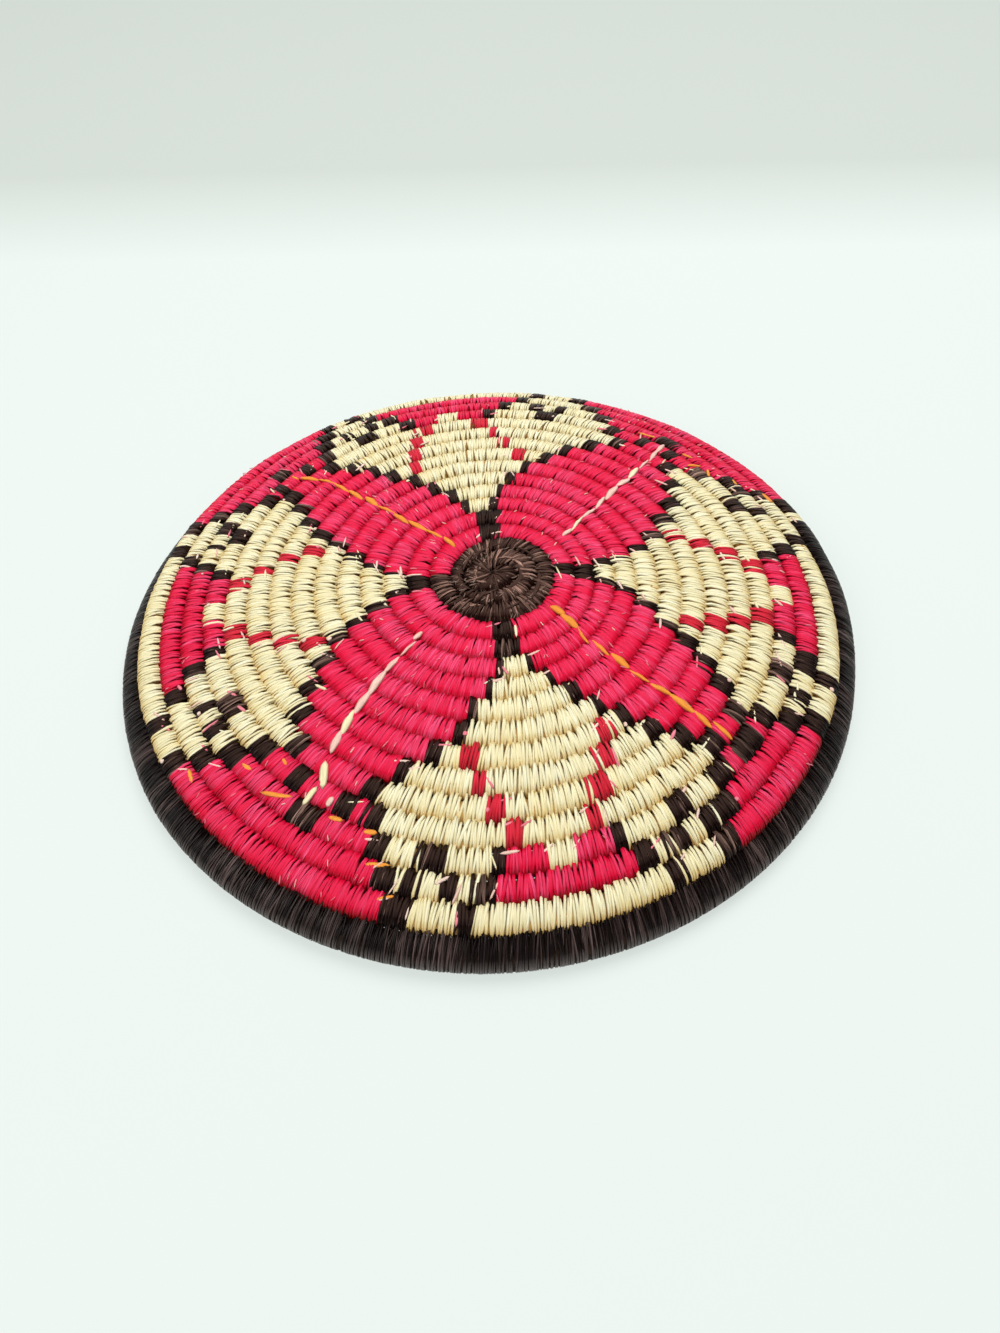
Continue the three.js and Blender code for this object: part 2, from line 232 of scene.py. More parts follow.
# Fibre of the strands and the bundle: changes of its noise across and along, and the noise's detail
STRAND_FIBRE = (6.0, 3.0, 3.0)
BUNDLE_FIBRE = (24.0, 60.0, 2.0)
FIBRE_ROUGHNESS = 0.6
FIBRE_STEP = 0.37  # along the noise from one strand to the next
LINE_RANGE = (0.38, 0.62)  # noise from the dark lines to the plain strand
LINE_SHADE = 0.88  # of the dye in the dark lines
GLINT_RANGE = (0.62, 0.72)  # noise from the plain strand to the glints
GLINT_SHARE = 0.6
HIGHLIGHT_RANGE = (0.8, 1.0)  # crown over which the painted highlight comes in
DULL_RANGE = (0.3, 0.7)  # noise from the dullest fibre to the smoothest
DULL_RISE = 0.14
SHEEN_ROUGHNESS = 0.4
BUMP_STRENGTH = 0.35
BUMP_HEIGHT = 0.12 * MM
BUNDLE_LINES = 0.35  # share of the bundle's own colour in its lines
BUNDLE_DEEP = (0.7, 0.0)  # crown at which the painted shade on the bundle starts, and is darkest
BUNDLE_SHADOW = (0.72, 0.62, 0.55)
BUNDLE_ROUGHNESS = 0.9
MIX_INPUTS = (0, 6, 7)  # sockets of a colour mix: its factor and two colours
MIX_OUTPUT = 2

# Bundle
BUNDLE_SIDES = 12
BUNDLE_STEP = 2 * MM
BUNDLE_FILL = 0.97  # its size over the room inside the strands
BUNDLE_SHADE = 0.5

# Strand loops
AROUND = 14  # points round a row
UPPER_CROWDING = 0.5  # draws them to the upper side
SECTION_POWER = (0.92, 1.0)  # fullness of the row's section, across and above
SHOULDER = math.radians(150)  # where a strand comes down on the row before
SHOULDER_POWER = 4  # keeps it to that part of the section
SHOULDER_REACH = (0.12, 0.10)  # its reach inward and upward, over the row's half width and height
BITE_LOSS = (0.65, 0.16)  # most that chance takes off the bite, and each strand from the group's middle
LEAST_BITE = 0.1
BITE_LIFT = 0.5  # its rise over the row before, as a share of the bite
GROUP_SIZES = (2, 6)  # strands in a group: the fewest, and one more than the most
GATHER = 0.16  # how far a group of strands closes to a point on the shoulder
CROWN = math.radians(113)  # part of a row where the painted highlight sits, away from the painted shade of its flanks
WIDTH_CHANCE = (0.78, 1.25)
OUTER_TAPER = 0.5  # narrowing to a point where a strand dives outside its row
OUTER_POWER = 1.3
INNER_TAPER = 0.25
INNER_POWER = 3
TAPER_CHANCE = (0.7, 1.1)
SLANT_CHANCE = 0.07
SHIFT_CHANCE = 0.12  # of a strand along its row, in strands
PAD_RISE = 0.16 * MM  # dark and red strands stand out a little
COLOUR_SPREAD = 0.75  # how far a strand's colour strays over its place, in strands
# Weave of each kind of zone: spacing of its strands over the plain one, their width over that spacing,
# their relief and narrowing over the plain ones, and their chance height
WEAVES = {
    "field": dict(fineness=1.0, overlap=1.25, relief=1.0, rough=0.08 * MM),
    "stem": dict(fineness=0.9, overlap=1.25, relief=1.0, rough=0.12 * MM),
    "petal": dict(fineness=0.72, overlap=1.6, relief=0.55, rough=0.05 * MM),
    "border": dict(fineness=0.8, overlap=1.4, relief=0.75, rough=0.07 * MM),
    "centre": dict(fineness=0.6, overlap=1.25, relief=0.9, rough=0.2 * MM),
    "rim": dict(fineness=0.52, overlap=1.15, relief=0.4, rough=0.04 * MM),
}
SWELL = (0.07, 0.28 * MM)  # slow unevenness of a row: share of its height, and way across
SWELL_WAVES = ((23 * MM, 0.0), (37 * MM, 1.3), (61 * MM, 4.1))  # lengths and starts of its waves
SWELL_LEAD = 9  # of the way across before the height, in half widths of a row
STRAND_EDGES = np.array([-1.0, -0.45, 0.45, 1.0])  # points across a strand, in half widths
STRAND_ARCH = np.array([-0.2, 1.0, 1.0, -0.2])  # their heights, in thicknesses
BRIDGE_SIDE = math.radians(125)  # where the rim's strands run up to the last row
BRIDGE_POWER = 2.5
BRIDGE_WAY = (-0.42, 0.91)
BRIDGE_CHANCE = (0.6, 1.2)
DRIFT_STRANDS = 9  # over which the slow part of the shade changes
DRIFT_SHARE = 0.45  # of the slow part
DRIFT_POWER = 0.8
TIP_MERGE = 0.0001 * MM

# Stitches over the rows
ROW_ROUND = 0.92  # roundness of a row's top under them
GROOVE_LEVEL = 0.92  # height of a filled groove over the row's
VEIN_STEPS = 11
VEIN_SLACK = 0.2  # part of a row that a vein's end may lack for a stitch
VEIN_HALF = (0.5, 0.7)  # half length of a stitch, in rows
VEIN_STRAY = 0.3  # of a stitch beside the vein's way, and its slant, in millimetres
VEIN_SLANT = (-0.7, 0.9)
VEIN_WIDTHS = (0.5, 1.3)  # over the mean
VEIN_TAPER = (0.8, 2.2)  # narrowing to the ends, and its power
VEIN_LIFT = 2.4  # over the row, in thicknesses of a strand
VEIN_DIP = (0.3 * MM, 4)  # of the ends, and its power
VEIN_THICKNESS = 0.3 * MM
VEIN_SHADE = 0.6
# Loose ends across a row, along it, in a knot and as a fleck: least and most half length and offset
# in rows, slant and width in millimetres
ENDS = np.array([
    [[0.2, 0.44], [-0.14, 0.14], [-1.3, 1.3], [0.5, 1.0]],
    [[0.03, 0.2], [-0.5, -0.3], [1.2, 2.8], [0.6, 1.2]],
    [[0.07, 0.12], [-0.35, 0.35], [-0.4, 0.4], [1.0, 1.7]],
    [[0.06, 0.18], [-0.3, 0.3], [-0.6, 0.6], [0.22, 0.45]],
])
END_SHARES = (0.25, 0.65, 0.1)  # of the first three kinds at the colour changes
ALONG = 1
FLECK = 3
HAIRS = (ALONG, FLECK, FLECK)
HAIR_TURNS = (CENTRE_START + 0.3, 1.9)
LEAST_ROWS = 0.7  # from the axis, by which an end's slant becomes an angle
LEAF_STEPS = 7
LEAF_TIP = 0.03
LEAF_POWER = 0.35
LEAF_LIFT = 2.0  # over the row, in thicknesses of a strand
LEAF_THICKNESS = 0.22 * MM

# Stage
BACKDROP_BLEND = 0.09  # way over which the floor turns to the backdrop's colour
FLOOR_GLOW = 0.7  # share of the floor that shows its colour without shade
FLOOR_ROUGHNESS = 0.85
FLOOR_SHINE = 0.2
LAMPS = (  # name, diameter, place and share of the key's power
    ("key", 0.9, (0.15, 0.35, 1.0), 1.0),
    ("fill", 0.7, (-0.8, -0.5, 0.8), 0.45),
)
WHITE = (1.0, 1.0, 1.0, 1.0)
CEILING = (0.1, 0.1, 0.1, 1.0)
CEILING_RANGE = (0.15, 0.6)  # rise of a direction from the floor's colour to the ceiling's
SENSOR = 36.0  # in millimetres

# Seed of the chance in each kind of piece, one more for each further piece of the kind
SEEDS = {
    "centre": 8, "rim": 9, "stem": 17, "petal": 27,
    "field": 37, "border": 47, "vein": 57, "sliver": 67,
}


def length_setting(name, description, default):
    """Property of a size in metres."""
    return FloatProperty(
        name=name, description=description, default=default, precision=5, unit="LENGTH")


def angle_setting(name, description, degrees):
    """Property of an angle that is given in degrees."""
    default = math.radians(degrees)
    return FloatProperty(name=name, description=description, default=default, subtype="ANGLE")


def colour_setting(name, description, default):
    """Property of a colour as it is seen."""
    return FloatVectorProperty(
        name=name, description=description, default=default, subtype="COLOR_GAMMA", min=0, max=1)


class CoilSettings(PropertyGroup):
    """Sizes of the coil and its strands."""

    row_pitch: length_setting("Row pitch", "From one row to the next along the surface", 7.736 * MM)
    row_radius: length_setting("Row radius", "Corner radius of a row's solid", 3.618 * MM)
    row_gap: length_setting("Row gap", "Clear gap between the solids of two rows", 0.5 * MM)
    row_rise: length_setting("Row rise", "Half height of a row under its strands", 3.35 * MM)
    rim_radius: length_setting("Rim radius", "Corner radius of the rim's solid", 5.1 * MM)
    rim_tip_radius: length_setting("Rim tip radius", "Corner radius where the rim ends", 1.95 * MM)
    rim_drop: length_setting(
        "Rim drop", "From the axis of the last row down to the axis of the rim", 6.4 * MM)
    strand_width: length_setting("Strand width", "Width of one wrapping strand", 0.92 * MM)
    strand_thickness: length_setting("Strand thickness", "Height of a strand over its edges", 0.21 * MM)
    bite: length_setting("Bite", "Most that a strand reaches over the row before it", 2.0 * MM)
    rim_bridge: length_setting("Rim bridge", "Rise of the rim's strands to the last row", 4.2 * MM)
    slant: FloatProperty(
        name="Slant", description="Slope of the strands, their outer ends ahead", default=0.08)


class DyeSettings(PropertyGroup):
    """Colours of the dyed fibre, as they are seen."""

    cream: colour_setting("Cream", "Natural strand", (0.985, 0.915, 0.67))
    pink: colour_setting("Pink", "Crimson-pink strand", (0.945, 0.0, 0.23))
    dark: colour_setting("Dark", "Brown-black strand", (0.10, 0.03, 0.02))
    umber: colour_setting("Umber", "Brown strand of the centre", (0.14, 0.045, 0.025))
    red: colour_setting("Red", "Red strand of the accents", (0.80, 0.03, 0.13))
    orange: colour_setting("Orange", "Orange strand of two veins", (0.98, 0.56, 0.17))
    pale: colour_setting("Pale", "Undyed ends at the colour changes", (0.97, 0.75, 0.67))
    rose: colour_setting("Rose", "Faded flecks on the pink rows", (0.97, 0.46, 0.54))
    # The brown flecks on the dark centre are painted glints.
    brown: colour_setting("Brown", "Worn flecks on the dark centre", (0.55, 0.45, 0.40))
    jet: colour_setting("Jet", "Glossy black strand of the rim", (0.075, 0.03, 0.025))
    bundle: colour_setting("Bundle", "Fibre bundle inside the rows", (0.36, 0.23, 0.12))


class StageSettings(PropertyGroup):
    """Camera, floor and lamps."""

    lens: FloatProperty(
        name="Lens", description="Focal length on a sensor 36 mm high", default=27.0, unit="CAMERA")
    camera_place: FloatVectorProperty(
        name="Camera place", description="Place of the camera", subtype="TRANSLATION",
        default=(6.4 * MM, -225.2 * MM, 272.1 * MM), precision=5)
    camera_pitch: angle_setting("Camera pitch", "Angle of the view below the horizon", 52.27)
    camera_yaw: angle_setting("Camera yaw", "Turn of the view to the left", 0.92)
    camera_roll: angle_setting("Camera roll", "Turn of the camera about its view", -1.71)
    floor_size: length_setting("Floor size", "Side of the floor", 6.0)
    floor_colour: colour_setting("Floor", "Colour of the floor and the sky", (0.925, 0.958, 0.938))
    backdrop_colour: colour_setting(
        "Backdrop", "Colour of the floor far behind the basket", (0.835, 0.868, 0.84))
    backdrop_start: length_setting(
        "Backdrop start", "Where the floor turns to the backdrop's colour", 0.25)
    key_power: FloatProperty(
        name="Key power", description="Power of the lamp over the basket", default=8.4, unit="POWER")
    sky_strength: FloatProperty(
        name="Sky strength", description="Strength of the even light from all sides", default=0.42)


class CoilPath:
    """The coil as tables along its turns: radius, height, lean and the row's half width and height.

    The lean of the dome grows with the distance along its surface, and the radius and drop are the
    running sums of its cosine and sine. The rim hangs outside and below the row one turn before it
    at the distance of the two radii and the gap, and rests on the floor while it is thick enough.
    """

    def __init__(self, coil):
        pitch = coil.row_pitch
        self.turn = np.linspace(CENTRE_START, COIL_END, COIL_STEPS)
        reach = np.linspace(0, (COIL_END + 1) * pitch, DOME_STEPS)
        share = reach / (DOME_ROWS * pitch)
        lean = DOME_LEAN * share + EDGE_LEAN * share ** EDGE_POWER
        step = reach[1] - reach[0]
        middle = (lean[1:] + lean[:-1]) / 2
        self._reach = reach
        self._lean = lean
        self._radius = np.concatenate([[0], np.cumsum(np.cos(middle)) * step])
        self._drop = np.concatenate([[0], np.cumsum(np.sin(middle)) * step])
        self._pitch = pitch
        rim_inner = np.interp(pitch * (RIM_LEVEL - 1 + AXIS_OFFSET), reach, self._drop)
        self._top = HEX_FLAT * coil.rim_radius + coil.rim_drop + rim_inner

        radius, height, lean = self._row(self.turn)
        start = np.clip((self.turn - CENTRE_START) / CENTRE_TIP, CENTRE_TIP_SIZE, 1)
        half = (self._inner_edge(self.turn + 1) - self._inner_edge(self.turn)) / 2
        rim = self.turn > RIM_START
        blend = np.clip((self.turn - RIM_START) / RIM_BLEND, 0, 1)
        blend = blend * blend * (3 - 2 * blend)
        taper = np.clip((self.turn - RIM_TAPER) / (COIL_END - RIM_TAPER), 0, 1)
        full = coil.rim_radius + (coil.rim_tip_radius - coil.rim_radius) * taper
        close = np.clip((COIL_END - self.turn) / RIM_CLOSE, 0, 1)
        full = full * (RIM_TIP_SIZE + (1 - RIM_TIP_SIZE) * np.sqrt(close * (2 - close)))
        size = coil.row_radius + (full - coil.row_radius) * blend
        inner_radius, inner_height, _ = self._row(np.maximum(self.turn - 1, 0))
        apart = coil.row_radius + size + coil.row_gap
        low = np.maximum(HEX_FLAT * full, inner_height - apart)
        rim_height = height + (low - height) * blend
        fall = inner_height - rim_height
        rim_radius = inner_radius + np.sqrt(np.maximum(apart ** 2 - fall ** 2, 0))
        self.radius = np.where(rim, rim_radius, radius)
        self.height = np.where(rim, rim_height, height)
        self.lean = np.where(rim, lean * (1 - blend), lean)
        proud = coil.strand_thickness
        self.wide = start * (half + (full - proud - half) * blend)
        self.tall = start * (coil.row_rise + (HEX_FLAT * full - proud - coil.row_rise) * blend)
        self.rim = blend
        self.bridge = coil.rim_bridge * blend * (1 - taper)
        before = np.interp(self.turn - 1, self.turn, self.radius + self.wide)
        gap = self.radius - self.wide - np.where(self.turn < CENTRE_START + 1, 0, before)
        self.gap = np.where(rim, 0, np.maximum(gap, 0))
        steps = np.diff(self.turn) * 2 * np.pi * self.radius[1:]
        self.length = np.concatenate([[0], np.cumsum(steps)])

    def _inner_edge(self, turn):
        """Way from the axis to a row's inner edge: the centre's pitch each turn, then the plain one."""
        plain = self._pitch * (turn + AXIS_OFFSET - 0.5)
        first = self._pitch * (PATTERN_START + AXIS_OFFSET - 0.5)
        centre = first + CENTRE_PITCH * (turn - PATTERN_START)
        return np.maximum(np.where(turn < PATTERN_START, centre, plain), 0)

    def _row(self, turn):
        """Radius, height and lean of a plain row, halfway between its two edges."""
        reach = (self._inner_edge(turn) + self._inner_edge(turn + 1)) / 2
        radius = np.interp(reach, self._reach, self._radius)
        height = self._top - np.interp(reach, self._reach, self._drop)
        return radius, height, np.interp(reach, self._reach, self._lean)

    def at(self, turn, *names):
        """Tables read at each turn."""
        return [np.interp(turn, self.turn, getattr(self, name)) for name in names]

    def points(self, turn, across, above, ahead, angle):
        """Points beside the axis: moved outward along the surface, out of it, and along the row."""
        radius, height, lean = self.at(turn, "radius", "height", "lean")
        out = radius + across * np.cos(lean) + above * np.sin(lean)
        up = height - across * np.sin(lean) + above * np.cos(lean)
        angle = angle + ahead / np.maximum(out, LEAST_RADIUS)
        share = out / OVAL_RADIUS
        growth = OVAL_GROWTH - OVAL_SHIFT[0] * np.cos(angle) + OVAL_SHIFT[1] * np.sin(angle)
        stretch = OVAL_STRETCH * np.exp(-(out / OVAL_STRETCH_RADIUS) ** 2)
        stretch = stretch * np.cos(2 * (angle - OVAL_TILT))
        edge = np.clip((out - EDGE_RADII[0]) / (EDGE_RADII[1] - EDGE_RADII[0]), 0, 1) ** 2
        far = edge * np.maximum(np.sin(angle), 0)
        right = edge * np.maximum(-np.cos(angle), 0)
        out = out * (1 + stretch) + growth * share * np.exp((1 - share ** 2) / 2)
        out = out - EDGE_IN * (far + right)
        up = up * (1 - EDGE_DROOP * far)
        return np.stack([AXIS[0] - out * np.cos(angle), AXIS[1] + out * np.sin(angle), up], axis=-1)

    def spaced_turns(self, spacing):
        """Turns that lie one spacing apart along the axis of the coil."""
        places = np.arange(spacing / 2, self.length[-1], spacing)
        return np.interp(places, self.length, self.turn)


def corner_value(corners, row):
    """Value at each row on straight runs between (row, value) corners."""
    rows, values = zip(*corners)
    return np.interp(row, rows, values)


def chart_place(turn):
    """Row and angle of each turn: a row begins at the first angle, between two petals."""
    count = turn - PATTERN_START
    row = np.floor(count - FIRST_ANGLE / 360)
    return row, (count - row) * 360


def chart_turn(row, angle):
    """Turn at each row and angle of the chart."""
    return PATTERN_START + row + angle / 360


def field_edges(field, row):
    """Angles of the first and last cream strand of a field at each row."""
    return corner_value(field["start"], row), corner_value(field["end"], row)


def strand_zones(turn):
    """Name of the zone that each strand belongs to, by the row and angle of its turn."""
    row, angle = chart_place(turn)
    names = np.full(turn.shape, "petal_near_left", dtype=object)
    names[row >= PETALS["near_left"]["rows"]] = "border_near_left"
    past = np.full(turn.shape, False)
    befores = ("near_left", "far_left", "far_right", "near_right")
    for (name, field), before in zip(FIELDS.items(), befores):
        start, end = field_edges(field, row)
        first = np.where(row < FIELD_ROW, field["stem"][0], start - OUTLINE)
        last = np.where(row < FIELD_ROW, field["stem"][1], end + OUTLINE)
        late = before == "near_left"  # its strands past the first angle count as one row more
        rows = PETALS[before]["rows"] + late
        between = (angle < first) & ~past
        names[between & (row < rows)] = "petal_" + before
        names[between & (row >= rows)] = "border_" + before
        inside = (angle >= first) & (angle < last)
        names[inside & (row < FIELD_ROW)] = "stem_" + name
        names[inside & (row >= FIELD_ROW)] = "field_" + name
        past |= angle < last
    names[turn < PATTERN_START] = "centre"
    names[turn >= RIM_START] = "rim"
    return names


def strand_dyes(turn):
    """Dye of each strand: pink ground, then stems, fields with ornaments, and the petals' caps."""
    row, angle = chart_place(turn)
    dye = np.full(turn.shape, PINK)
    for field in FIELDS.values():
        paint_field(dye, field, row, angle)
    for petal in PETALS.values():
        paint_tip(dye, petal, row, angle)
    dye[turn < PATTERN_START] = UMBER
    dye[turn >= RIM_START] = JET
    return dye


def paint_field(dye, field, row, angle):
    """One cream field: outline, red accents, checks, and the pink heart with its border."""
    start, end = field_edges(field, row)
    in_rows = row >= FIELD_ROW
    dye[in_rows & (angle > start - OUTLINE) & (angle < end + OUTLINE)] = DARK
    dye[in_rows & (angle > start) & (angle < end)] = CREAM
    dye[(row < FIELD_ROW) & (angle > field["stem"][0]) & (angle < field["stem"][1])] = DARK

    red_row = (row >= RED_ROWS[0]) & (row <= RED_ROWS[1])
    for first, last in field["reds"]:
        middle = np.interp(row, RED_ROWS, (first, last))
        dye[red_row & (np.abs(angle - middle) < RED_HALF)] = RED

    for middle in field["checks"]:
        away = np.abs(angle - middle)
        dye[(row == HEART_ROW) & (away < CHECK_HALF)] = DARK
        pair = (away > CHECK_PAIR[0]) & (away < CHECK_PAIR[1])
        dye[(row == HEART_ROW + 1) & pair] = DARK

    rows, firsts, lasts = field["heart"]
    first = np.interp(row, rows, firsts)
    last = np.interp(row, rows, lasts)
    heart_row = (row >= HEART_ROW) & (row <= field["band_row"])
    dye[heart_row & (angle > first - HEART_BORDER) & (angle < last + HEART_BORDER)] = DARK
    heart = heart_row & (angle > first) & (angle < last)
    dye[heart] = PINK
    slit = (row == HEART_ROW) & (np.abs(angle - (first + last) / 2) < HEART_SLIT)
    dye[heart & (slit | (row == field["band_row"]))] = CREAM


def paint_tip(dye, petal, row, angle):
    """Dark cap of a petal and the two shoulders on the row before it."""
    cap_row, middle, half = petal["cap"]
    dye[(row == cap_row) & (np.abs(angle - middle) < half)] = DARK
    if petal["shoulder"]:
        near, far = petal["shoulder"]
        away = np.abs(angle - middle)
        dye[(row == cap_row - 1) & (away > near) & (away < far)] = DARK


def row_angles():
    """Angles of the points round a row's section, closer together on its upper side."""
    even = 2 * np.pi * np.arange(AROUND) / AROUND
    return even - UPPER_CROWDING * (1 - np.cos(even))


def row_swell(length):
    """Slow unevenness along a row from -1 to 1: the mean of waves that share no period."""
    waves = [np.sin(2 * np.pi * length / wave + start) for wave, start in SWELL_WAVES]
    return sum(waves) / len(waves)


def strand_groups(count, rng):
    """Way of each strand from the middle of its group, in strands."""
    sizes = rng.integers(*GROUP_SIZES, count)
    ends = np.cumsum(sizes)
    group = np.searchsorted(ends, np.arange(count), side="right")
    return np.arange(count) - (ends - sizes)[group] - (sizes[group] - 1) / 2


def strand_loops(path, coil, turn, spacing, proud, rng, overlap, relief, rough):
    """Closed strands round the row, as an array of strand, step round the row, step round the strand.

    The row's section is a full ellipse. A strand follows it, comes down on the shoulder of the row
    before, where its group closes to a point, narrows where it dives outside, and is arched between
    its two edges. On the rim it runs up to the last row instead.
    """
    one = (len(turn), 1, 1)
    theta = row_angles()[:, None]
    cos, sin = np.cos(theta), np.sin(theta)
    unit_x = np.sign(cos) * np.abs(cos) ** SECTION_POWER[0]
    unit_y = np.sign(sin) * np.abs(sin) ** SECTION_POWER[1]
    tables = path.at(turn, "wide", "tall", "rim", "bridge", "gap", "length")
    wide, tall, rim, bridge, gap, length = (table.reshape(one) for table in tables)
    swell = row_swell(length) * (1 - rim)
    tall = tall * (1 + SWELL[0] * swell)
    slope = np.hypot(unit_x * tall, unit_y * wide)
    normal_x = unit_x * tall / slope
    normal_y = unit_y * wide / slope

    inner = np.maximum(-cos, 0)
    outer = np.maximum(cos, 0)
    shoulder = np.maximum(np.cos(theta - SHOULDER), 0) ** SHOULDER_POWER
    climb = bridge * rng.uniform(*BRIDGE_CHANCE, one)
    climb = climb * np.maximum(np.cos(theta - BRIDGE_SIDE), 0) ** BRIDGE_POWER
    beside = strand_groups(len(turn), rng).reshape(one)
    loss = BITE_LOSS[0] * rng.uniform(0, 1, one) + BITE_LOSS[1] * np.abs(beside)
    bite = np.maximum(1 - relief * loss, LEAST_BITE)
    bite = coil.bite * bite * (1 - rim) * wide / wide.max()
    reach = SHOULDER_REACH[0] * wide + bite
    x = wide * unit_x - reach * shoulder - gap * inner + BRIDGE_WAY[0] * climb
    x = x + SWELL[1] * row_swell(length + wide.max() * SWELL_LEAD) * (1 - rim)
    y = tall * (unit_y + SHOULDER_REACH[1] * shoulder) + BITE_LIFT * bite * shoulder
    y = y + BRIDGE_WAY[1] * climb

    width = spacing * overlap * rng.uniform(*WIDTH_CHANCE, one)
    taper = OUTER_TAPER * relief * rng.uniform(*TAPER_CHANCE, one) * (1 - rim)
    band = width * (1 - taper * outer ** OUTER_POWER - INNER_TAPER * relief * inner ** INNER_POWER)
    height = rng.normal(0, rough, one) + coil.strand_thickness * relief * STRAND_ARCH
    height = height + proud.reshape(one)
    slant = coil.slant + rng.normal(0, SLANT_CHANCE, one)
    shift = rng.normal(0, SHIFT_CHANCE * spacing, one)
    shift = shift - GATHER * relief * spacing * beside * shoulder * (1 - rim)
    ahead = shift + STRAND_EDGES * band / 2 + slant * x
    turn = turn.reshape(one)
    return path.points(turn, x + normal_x * height, y + normal_y * height, ahead, 2 * np.pi * turn)


def ring_quads(rings, count, closed):
    """Quads between neighbouring rings of points, and their corners across and along the strand.

    They go round every ring, and from the last ring back to the first if the strand is closed.
    """
    ring, step = np.mgrid[:rings if closed else rings - 1, :count]
    here = ring * count
    there = (ring + 1) % rings * count
    beside = (step + 1) % count
    quads = np.stack([here + step, there + step, there + beside, here + beside], axis=-1)
    across = np.stack([step, step, step + 1, step + 1], axis=-1) / count
    along = np.stack([ring, ring + 1, ring + 1, ring], axis=-1) / rings
    return quads.reshape(-1, 4), np.stack([across, along], axis=-1).reshape(-1, 4, 2)


def strand_mesh(name, points, dyes, shades, crowns, materials, closed):
    """Mesh of many like strands: points by strand, ring and step, a dye for each, shades and crowns.

    A strand that isn't closed runs to a point at its two ends, and its rings turn the other way.
    """
    count, rings, steps = points.shape[:3]
    quads, corners = ring_quads(rings, steps, closed)
    if not closed:
        points[:, [0, -1]] = points[:, [0, -1]].mean(axis=2, keepdims=True)
        quads = quads[:, ::-1]
        corners = corners[:, ::-1]
    faces = (np.arange(count)[:, None, None] * rings * steps + quads).reshape(-1, 4)
    onward = np.arange(count)[:, None, None, None] * np.array([0.0, FIBRE_STEP])
    uvs = corners[None] + onward
    mesh = bpy.data.meshes.new(name)
    mesh.vertices.add(count * rings * steps)
    mesh.vertices.foreach_set("co", points.astype(np.float32).ravel())
    mesh.loops.add(faces.size)
    mesh.loops.foreach_set("vertex_index", faces.astype(np.int32).ravel())
    mesh.polygons.add(len(faces))
    mesh.polygons.foreach_set("loop_start", np.arange(0, faces.size, 4, dtype=np.int32))
    used = sorted(set(dyes.tolist()))
    for dye in used:
        mesh.materials.append(materials[dye])
    slots = np.searchsorted(used, dyes).astype(np.int32)
    mesh.polygons.foreach_set("material_index", np.repeat(slots, len(quads)))
    mesh.polygons.foreach_set("use_smooth", np.ones(len(faces), dtype=bool))
    mesh.uv_layers.new(name="strand").data.foreach_set("uv", uvs.astype(np.float32).ravel())
    for title, values in (("shade", shades), ("crown", crowns)):
        whole = np.broadcast_to(values, points.shape[:3]).astype(np.float32)
        mesh.attributes.new(title, "FLOAT", "POINT").data.foreach_set("value", whole.ravel())
    mesh.update(calc_edges=True)
    mesh.validate()
    return mesh


def close_tips(mesh):
    """Merges the points of each end ring, which lie in one place, so no flat face is left there."""
    work = bmesh.new()
    work.from_mesh(mesh)
    bmesh.ops.remove_doubles(work, verts=work.verts, dist=TIP_MERGE)
    work.to_mesh(mesh)
    work.free()


def add_piece(name, mesh, slot, *nodes):
    """Object of a mesh that rides on the body and stands for its nodes; the slot is not used."""
    piece = bpy.data.objects.new(name, mesh)
    bpy.context.scene.collection.objects.link(piece)
    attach(piece, BODY)
    if nodes:
        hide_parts(*nodes)


def drift(count, rng):
    """Shade of each strand from 0 to 1: its own chance, and a slow change along the row."""
    knots = rng.uniform(0, 1, count // DRIFT_STRANDS + 3)
    slow = np.interp(np.arange(count) / DRIFT_STRANDS, np.arange(len(knots)), knots)
    own = rng.uniform(0, 1, count)
    return np.clip(DRIFT_SHARE * slow + (1 - DRIFT_SHARE) * own, 0, 1) ** DRIFT_POWER


def wrapped_zone(context, zone, slot, node, seed):
    """All the strand loops of one zone as one piece."""
    coil = context.scene.basket_coil
    path = CoilPath(coil)
    kind = zone.split("_")[0]
    weave = dict(WEAVES[kind])
    spacing = coil.strand_width * weave.pop("fineness")
    turns = path.spaced_turns(spacing)
    turns = turns[strand_zones(turns) == zone]
    if not len(turns):
        raise RuntimeError("no strand lies in the zone " + zone)
    rng = np.random.default_rng(seed)
    radius, = path.at(turns, "radius")
    stray = rng.normal(0, COLOUR_SPREAD * spacing, len(turns)) / (2 * np.pi * radius)
    dyes = strand_dyes(turns if kind in ("rim", "centre") else turns + stray)
    proud = PAD_RISE * np.isin(dyes, (DARK, RED))
    points = strand_loops(path, coil, turns, spacing, proud, rng, **weave)
    crowns = np.cos(row_angles() - CROWN)[None, :, None]
    shades = drift(len(turns), rng)[:, None, None]
    materials = dye_materials(context)
    name = zone + "_strands"
    mesh = strand_mesh(name, points, dyes, shades, crowns, materials, True)
    add_piece(name, mesh, slot, node)


def wrapped_zones(context, kind, names, slot):
    """One piece for each named zone of a kind."""
    for seed, name in enumerate(names, SEEDS[kind]):
        wrapped_zone(context, kind + "_" + name, slot, kind + "_wrap_" + name, seed)


def row_distance(coil, row):
    """Way along the surface from the axis to each row of the chart."""
    return (row + PATTERN_START + AXIS_OFFSET) * coil.row_pitch


def surface_height(path, row, angle):
    """Height of the strands over the axis of their row: round, filled in the groove by the next."""
    away = 2 * np.abs(row - np.round(row))
    tall, = path.at(chart_turn(row, angle), "tall")
    return tall * np.maximum(np.sqrt(1 - (ROW_ROUND * away) ** 2), GROOVE_LEVEL)


